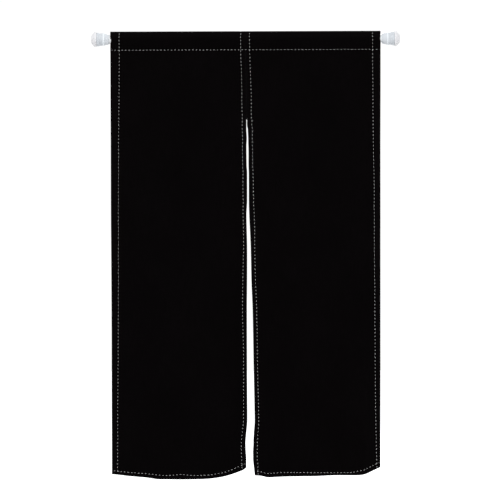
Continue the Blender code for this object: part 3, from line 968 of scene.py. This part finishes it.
def turned(name, profile, material):
    """Spin a profile of (along, radius) points round the rod's axis."""
    bm = bmesh.new()
    points = [bm.verts.new((along, 0.0, radius)) for along, radius in profile]
    edges = [bm.edges.new((points[i], points[i + 1])) for i in range(len(points) - 1)]
    bmesh.ops.spin(bm, geom=points + edges, cent=(0, 0, 0), axis=(1, 0, 0), dvec=(0, 0, 0),
                   angle=math.tau, steps=TURNED_SIDES, use_merge=True, use_duplicate=False)
    bmesh.ops.remove_doubles(bm, verts=bm.verts, dist=WELD_DISTANCE)
    mesh = bpy.data.meshes.new(name)
    bm.to_mesh(mesh)
    bm.free()
    finish_mesh(mesh)
    mesh.set_sharp_from_angle(angle=SHARP_ANGLE)
    mesh.materials.append(material)
    return add_object(name, mesh)


def rounded_corner(corner, towards, onwards, radius):
    """A profile's corner, rounded between the way it comes from and the way it goes on."""
    corner, towards, onwards = Vector(corner), Vector(towards).normalized(), Vector(onwards).normalized()
    start, end = corner - towards * radius, corner + onwards * radius
    return [tuple(start * (1 - share) ** 2 + corner * 2 * share * (1 - share) + end * share ** 2)
            for share in shares(CORNER_STEPS)]


def pad_profile():
    """A domed pad: flat face, shallow grip rings, a soft rim and a neck drawn in to the socket."""
    dome = []
    for share in shares(PAD_DOME_STEPS):
        sink = sum(near(GRIP_RING_SHARPNESS * (share - ring), GRIP_RING_WIDTH) for ring in GRIP_RINGS_AT)
        along = PAD_RIM_AT * share ** PAD_DOME_POWER + GRIP_RING_DEPTH * sink
        dome.append((along, PAD_FACE_RADIUS + (PAD_RIM_RADIUS - PAD_FACE_RADIUS) * share))
    rim = rounded_corner((PAD_RIM_AT + PAD_RIM_ROUNDING, PAD_RIM_RADIUS + PAD_RIM_RISE), (0.7, 0.7),
                         (1, -0.35), PAD_RIM_ROUNDING)
    neck = [(PAD_DEPTH - before, PAD_BACK_RADIUS + beyond) for before, beyond in PAD_NECK]
    return [(0.0, 0.0), (0.0, PAD_FLAT_RING * PAD_FACE_RADIUS)] + dome + rim + neck + [(PAD_DEPTH, 0.0)]


def collar_radius_at(along):
    """The collar narrows to its nose, slowly at first, with two sunk rings."""
    share = (along - BEAD_END) / (COLLAR_END - BEAD_END)
    radius = COLLAR_RADIUS - (COLLAR_RADIUS - COLLAR_NOSE_RADIUS) * share * share
    for ring in COLLAR_RINGS_AT:
        radius -= COLLAR_RING_DEPTH * near(along - ring, COLLAR_RING_WIDTH / 2)
    return radius


def flare(share):
    """The body's way in from its flange to its waist, as a soft hollow curve."""
    along = FLANGE_END + (WAIST_START - FLANGE_END) * share
    return along, BODY_RADIUS + (FLANGE_RADIUS - BODY_RADIUS) * (1 + math.cos(math.pi * share)) / 2


def socket_profile(tube_radius):
    """A cup for the tube's end: flange, waisted body, raised bead, collar and bore, with eased edges."""
    start = PAD_DEPTH + TOUCH_GAP
    bore = tube_radius + TOUCH_GAP
    profile = [(start, 0.0)]
    profile += rounded_corner((start, FLANGE_RADIUS), (0, 1), (1, 0), EDGE_ROUNDING)
    profile += [flare(share) for share in shares(FLARE_STEPS)]
    profile.append((BEAD_START - BODY_END_BEFORE_BEAD, BODY_RADIUS))
    for step in range(BEAD_STEPS + 1):
        turn = math.pi * (1 - step / BEAD_STEPS)
        # Past its crown the bead comes down to the collar, which is narrower than the body
        fall = min(1.0, 2 * (BEAD_STEPS - step) / BEAD_STEPS)
        foot = COLLAR_RADIUS + (BODY_RADIUS - COLLAR_RADIUS) * fall
        lift = (BODY_RADIUS + BEAD_HEIGHT - foot) * math.sin(turn) ** BEAD_FULLNESS
        profile.append((BEAD_MIDDLE + BEAD_HALF * math.cos(turn), foot + lift))
    for step in range(1, COLLAR_STEPS + 1):
        along = BEAD_END + (COLLAR_END - BEAD_END - NOSE_ROUNDING) * step / COLLAR_STEPS
        profile.append((along, collar_radius_at(along)))
    before, inside = NOSE_CORNER
    profile += [(COLLAR_END - before, COLLAR_NOSE_RADIUS - inside), (COLLAR_END, bore + BORE_CHAMFER)]
    profile += [(COLLAR_END - BORE_CHAMFER, bore), (BORE_FLOOR, bore), (BORE_FLOOR, 0.0)]
    return profile


def from_right_end(profile):
    return [(ROD_LENGTH - along, radius) for along, radius in profile]


def noise(tree, place, scale, detail):
    return result_of(tree, "ShaderNodeTexNoise", {"Vector": place, "Scale": scale, "Detail": detail})


def streaks(tree, place, stretch, detail):
    """Noise drawn out into streaks, by how often it changes in a metre each way."""
    return noise(tree, vector_maths(tree, "MULTIPLY", place, stretch), 1.0, detail)


def uneven_tone_group():
    """Two close tones that wander over a surface in soft patches."""
    inputs = {"Place": ("Vector", None), "Patch Size": ("Float", 0.05), "Tone": ("Color", None),
              "Other Tone": ("Color", None)}
    group, given, result = new_group("uneven_tone", "ShaderNodeTree", inputs, {"Colour": "Color"})
    scale = maths(group, "DIVIDE", 1.0, given["Patch Size"])
    patches = stepped(group, noise(group, given["Place"], scale, 4.0), 0.32, 0.68)
    colour = mixed_colour(group, patches, given["Tone"], given["Other Tone"])
    group.links.new(colour, result["Colour"])
    return group


def fine_grain_group():
    """A fine grain for bump, with a roughness that follows it."""
    inputs = {"Place": ("Vector", None), "Grain Size": ("Float", 0.001), "Roughness": ("Float", 0.4),
              "Roughness Spread": ("Float", 0.05)}
    outputs = {"Height": "Float", "Roughness": "Float"}
    group, given, result = new_group("fine_grain", "ShaderNodeTree", inputs, outputs)
    height = noise(group, given["Place"], maths(group, "DIVIDE", 1.0, given["Grain Size"]), 3.0)
    spread = times(group, minus(group, height, 0.5), given["Roughness Spread"])
    group.links.new(height, result["Height"])
    group.links.new(maths(group, "ADD", given["Roughness"], spread, clamp=True), result["Roughness"])
    return group


def new_material(name, specular=0.5, **sockets):
    """A material with its plain values set on the shader itself."""
    material = bpy.data.materials.new(name)
    material.use_nodes = True
    shader = material.node_tree.nodes["Principled BSDF"]
    shader.inputs["Specular IOR Level"].default_value = specular
    for label, value in sockets.items():
        shader.inputs[label.replace("_", " ")].default_value = value
    return material, material.node_tree, shader


def patchy_colour(tree, tones, place, size, pair):
    """A pair of tones as they wander over a piece in patches of a size."""
    values = {"Place": place, "Patch Size": size, "Tone": pair[0], "Other Tone": pair[1]}
    return put(tree, "ShaderNodeGroup", values, node_tree=tones).outputs["Colour"]


def grained(tree, grain, place, size, roughness, spread):
    """The fine grain's height and the roughness that follows it."""
    values = {"Place": place, "Grain Size": size, "Roughness": roughness, "Roughness Spread": spread}
    node = put(tree, "ShaderNodeGroup", values, node_tree=grain)
    return node.outputs["Height"], node.outputs["Roughness"]


def own_place(tree):
    return put(tree, "ShaderNodeTexCoord").outputs["Object"]


def dress(tree, shader, colour, rough, height, relief):
    """Join a surface's colour, roughness and bump to its shader."""
    bump = result_of(tree, "ShaderNodeBump", {"Height": height, "Distance": relief, "Strength": 1.0})
    for label, value in (("Base Color", colour), ("Roughness", rough), ("Normal", bump)):
        tree.links.new(value, shader.inputs[label])


def cloth_material(tones):
    """Matt black plain weave: over and under threads with painted shade between them, slubs, soft patches
    and worn folds.
    """
    material, tree, shader = new_material("black_plain_weave", specular=0.025, Sheen_Weight=0.015,
                                          Sheen_Roughness=0.45)
    cloth = result_of(tree, "ShaderNodeUVMap", uv_map="cloth_metres")
    thread = apart(tree, scaled_vector(tree, cloth, THREADS_PER_METRE))
    warp, weft = [maths(tree, "ABSOLUTE", maths(tree, "SINE", times(tree, thread[axis], math.pi)))
                  for axis in ("X", "Y")]
    cell = plus(tree, maths(tree, "FLOOR", thread["X"]), maths(tree, "FLOOR", thread["Y"]))
    warp_over = maths(tree, "ABSOLUTE", maths(tree, "MODULO", cell, 2.0))
    top = mixed_colour(tree, warp_over, weft, warp)
    weave = plus(tree, times(tree, top, 0.6), times(tree, times(tree, warp, weft), 0.4))
    slub = plus(tree, streaks(tree, cloth, WEFT_SLUBS, 2.0), streaks(tree, cloth, WARP_SLUBS, 2.0))
    slub = stepped(tree, slub, 0.75, 1.35)

    # Between the threads the weave is painted darker, as painted shade, and slubs vary the tone too
    weave_shade_and_slub = times(tree, plus(tree, weave, slub), 0.5)
    colour = patchy_colour(tree, tones, cloth, 0.16, CLOTH_TONES)
    colour = mixed_colour(tree, weave_shade_and_slub, PAINTED_SHADE_BETWEEN_THREADS, colour)
    worn = put(tree, "ShaderNodeAttribute", attribute_name="edge_wear").outputs["Fac"]
    colour = mixed_colour(tree, times(tree, worn, times(tree, slub, 0.45)), colour, WORN_CLOTH_TONE)
    rough = stepped(tree, weave_shade_and_slub, 0.0, 1.0, 0.98, 0.86)
    dress(tree, shader, colour, rough, plus(tree, weave, times(tree, slub, 0.8)), 0.00016)
    return material


def thread_material(name, tones, pair, specular):
    """Two-ply sewing thread: slanting plies, with painted shade in the grooves where they meet."""
    material, tree, shader = new_material(name, specular=specular)
    along = put(tree, "ShaderNodeAttribute", attribute_name="thread_along").outputs["Fac"]
    around = apart(tree, put(tree, "ShaderNodeAttribute", attribute_name="thread_round").outputs["Vector"])
    angle = maths(tree, "ARCTAN2", around["Y"], around["X"])
    turns = times(tree, along, math.tau / PLY_TWIST_LENGTH)
    ply = maths(tree, "SINE", plus(tree, turns, times(tree, angle, 2.0)))
    crown = stepped(tree, ply, -1.0, 0.4)
    # Painted shade: the grooves between the plies are painted darker
    painted_shade_between_plies = tuple(value * 0.55 for value in pair[0][:3]) + (1.0,)
    colour = patchy_colour(tree, tones, own_place(tree), 0.012, pair)
    colour = mixed_colour(tree, crown, painted_shade_between_plies, colour)
    dress(tree, shader, colour, stepped(tree, crown, 0.0, 1.0, 0.85, 0.6), crown, 0.00012)
    return material


def tube_material(tones, grain):
    """White stove paint on steel tube: faint orange peel and lengthwise draw lines."""
    material, tree, shader = new_material("white_tube_paint", Coat_Weight=0.25, Coat_Roughness=0.12)
    place = own_place(tree)
    colour = patchy_colour(tree, tones, place, 0.035, PAINT_TONES)
    peel, rough = grained(tree, grain, place, 0.0016, 0.30, 0.10)
    drawn = streaks(tree, place, DRAW_LINES, 2.0)
    dress(tree, shader, colour, rough, plus(tree, peel, times(tree, drawn, 0.4)), 0.00004)
    return material


def plastic_material(tones, grain):
    """Moulded white plastic with a fine spark grain, faint flow lines from the mould, a painted highlight
    on the bead and painted light on the collar.
    """
    material, tree, shader = new_material("moulded_white_plastic", specular=0.45)
    place = own_place(tree)
    along = apart(tree, place)["X"]
    from_end = maths(tree, "MINIMUM", along, minus(tree, ROD_LENGTH, along))
    # The raised bead takes a much lighter tone: a painted highlight, standing in for the bright ring of
    # light that its gloss catches
    from_bead = maths(tree, "ABSOLUTE", minus(tree, from_end, BEAD_MIDDLE))
    bead = stepped(tree, from_bead, BEAD_HALF - 0.0002, BEAD_HALF + 0.0005, 1.0, 0.0)
    # Beyond the bead the collar is painted a lighter tone: painted light for the brighter light on its
    # curved top
    nose = stepped(tree, from_end, BEAD_END, BEAD_END + 0.002)
    colour = patchy_colour(tree, tones, place, 0.020, PLASTIC_TONES)
    colour = mixed_colour(tree, nose, colour, COLLAR_PAINTED_LIGHT)
    colour = mixed_colour(tree, bead, colour, BEAD_PAINTED_HIGHLIGHT)
    spark, rough = grained(tree, grain, place, 0.0006, 0.36, 0.12)
    flow = streaks(tree, place, FLOW_LINES, 1.0)
    dress(tree, shader, colour, rough, plus(tree, spark, times(tree, flow, 0.6)), 0.00005)
    return material


def pad_material(tones, grain):
    """Soft white rubber, matt and slightly warm, in two close tones that wander in soft patches."""
    material, tree, shader = new_material("soft_white_rubber", specular=0.30)
    place = own_place(tree)
    colour = patchy_colour(tree, tones, place, 0.012, RUBBER_TONES)
    soft, rough = grained(tree, grain, place, 0.0009, 0.58, 0.16)
    dress(tree, shader, colour, rough, soft, 0.00006)
    return material


def make_camera():
    """A long lens at the photograph's angle, turned a little so that the rod rises to the right."""
    data = bpy.data.cameras.new("long_lens")
    data.lens = LENS_MM
    data.sensor_width = SENSOR_MM
    data.clip_end = SIGHT_RANGE
    camera = add_object("long_lens", data)
    roll = Matrix.Rotation(CAMERA_ROLL, 4, "Y")
    camera.matrix_world = Matrix.Translation(CAMERA_AT) @ roll @ Matrix.Rotation(math.pi / 2, 4, "X")
    bpy.context.scene.camera = camera


def add_lamp(lamp, target):
    """A square soft light, turned to a target and unseen by the camera."""
    data = bpy.data.lights.new(lamp.name, "AREA")
    data.shape = "SQUARE"
    data.size = lamp.size
    data.energy = lamp.power
    made = add_object(lamp.name, data)
    aim = (Vector(target) - Vector(lamp.place)).to_track_quat("-Z", "Y")
    made.matrix_world = Matrix.Translation(lamp.place) @ aim.to_matrix().to_4x4()
    made.visible_camera = False


def make_floor():
    """A plain pale floor that the camera sees nearly white."""
    mesh = bpy.data.meshes.new("floor")
    mesh.from_pydata([(x, y, FLOOR_HEIGHT) for x, y in FLOOR_CORNERS], [], [(0, 1, 2, 3)])
    floor = add_object("floor", mesh)
    material, tree, shader = new_material("pale_floor", specular=0.1, Roughness=0.9, Emission_Color=WHITE)
    tone = mixed_colour(tree, noise(tree, own_place(tree), 2.0, 3.0), *FLOOR_TONES)
    tree.links.new(tone, shader.inputs["Base Color"])
    seen = put(tree, "ShaderNodeLightPath").outputs["Is Camera Ray"]
    tree.links.new(times(tree, seen, 0.62), shader.inputs["Emission Strength"])
    mesh.materials.append(material)


def make_studio():
    """White surroundings, large soft lights on both sides and a plain pale floor."""
    scene = bpy.context.scene
    scene.view_settings.view_transform = "Standard"
    scene.world = bpy.data.worlds.new("white_studio")
    scene.world.use_nodes = True
    tree = scene.world.node_tree
    tree.nodes.clear()
    up = apart(tree, put(tree, "ShaderNodeTexCoord").outputs["Generated"])["Z"]
    glow = stepped(tree, up, -0.5, 1.0, 0.28, 0.98)
    soft = result_of(tree, "ShaderNodeBackground", {"Color": COOL_WHITE, "Strength": glow})
    white = result_of(tree, "ShaderNodeBackground", {"Color": WHITE, "Strength": 1.05})
    seen = put(tree, "ShaderNodeLightPath").outputs["Is Camera Ray"]
    mix = result_of(tree, "ShaderNodeMixShader", {0: seen, 1: soft, 2: white})
    put(tree, "ShaderNodeOutputWorld", {"Surface": mix})
    for lamp in LAMPS:
        add_lamp(lamp, LIT_PLACE)
    make_floor()


def ride_and_name(piece, slot, *nodes):
    """Every piece rides on the one body, and the CAD nodes that it replaces are hidden. The slot is not
    used.
    """
    if nodes:
        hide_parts(*nodes)
    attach(piece, "root")


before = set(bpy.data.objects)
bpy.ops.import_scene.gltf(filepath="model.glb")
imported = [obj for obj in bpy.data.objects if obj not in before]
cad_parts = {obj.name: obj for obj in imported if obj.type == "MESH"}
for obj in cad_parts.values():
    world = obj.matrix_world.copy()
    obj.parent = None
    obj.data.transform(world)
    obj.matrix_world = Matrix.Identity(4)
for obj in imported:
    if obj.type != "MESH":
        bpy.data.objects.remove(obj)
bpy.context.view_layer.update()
make_camera()
make_studio()

tones = uneven_tone_group()
grain = fine_grain_group()
black_cloth = cloth_material(tones)
pale_thread = thread_material("pale_thread", tones, PALE_THREAD_TONES, 0.3)
black_thread = thread_material("black_thread", tones, BLACK_THREAD_TONES, 0.1)
tube_paint = tube_material(tones, grain)
white_plastic = plastic_material(tones, grain)
soft_rubber = pad_material(tones, grain)

# Rod: the tubes keep their solids, and the end fittings are turned again with full detail
rod_tubes = ["rod_outer_tube", "rod_inner_tube"]
for node in rod_tubes:
    for material_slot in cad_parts[node].material_slots:
        material_slot.material = tube_paint
fittings = (
    ("left_socket", socket_profile(OUTER_TUBE_RADIUS), white_plastic, "socket_plastic"),
    ("right_socket", from_right_end(socket_profile(INNER_TUBE_RADIUS)), white_plastic, "socket_plastic"),
    ("left_pad", pad_profile(), soft_rubber, "pad"),
    ("right_pad", from_right_end(pad_profile()), soft_rubber, "pad"),
)
for node, profile, material, slot in fittings:
    ride_and_name(turned(node + "_turned", profile, material), slot, node)

# Cloth
left_cloth = cloth_piece(LEFT_PANEL, black_cloth)
right_cloth = cloth_piece(RIGHT_PANEL, black_cloth)
ride_and_name(left_cloth, "cloth", "left_panel")
ride_and_name(right_cloth, "cloth", "right_panel")

# Sewing
stitch_tree = running_stitch_tree()
left_stitches = sewn_piece("left_stitches", stitch_tree, panel_lines(LEFT_PANEL), pale_thread)
right_stitches = sewn_piece("right_stitches", stitch_tree, panel_lines(RIGHT_PANEL), pale_thread, Seed=5)
pocket_stitches = sewn_piece("pocket_stitches", stitch_tree, [pocket_sewn_line()], pale_thread, Seed=8)
seam, tack = seam_lines()
seam_sizes = {"Stitch Pitch": SEAM_PITCH, "Front Share": 0.5, "Thread Radius": SEAM_THREAD_RADIUS,
              "Side Swing": SEAM_SWING}
tack_sizes = {**seam_sizes, "Stitch Pitch": TACK_PITCH, "Side Swing": TACK_SWING}
seam_stitches = sewn_piece("seam_stitches", stitch_tree, [seam], black_thread, **seam_sizes)
tack_stitches = sewn_piece("slit_tack", stitch_tree, [tack], black_thread, **tack_sizes)
for piece in (left_stitches, right_stitches, pocket_stitches, seam_stitches, tack_stitches):
    ride_and_name(piece, "cloth")
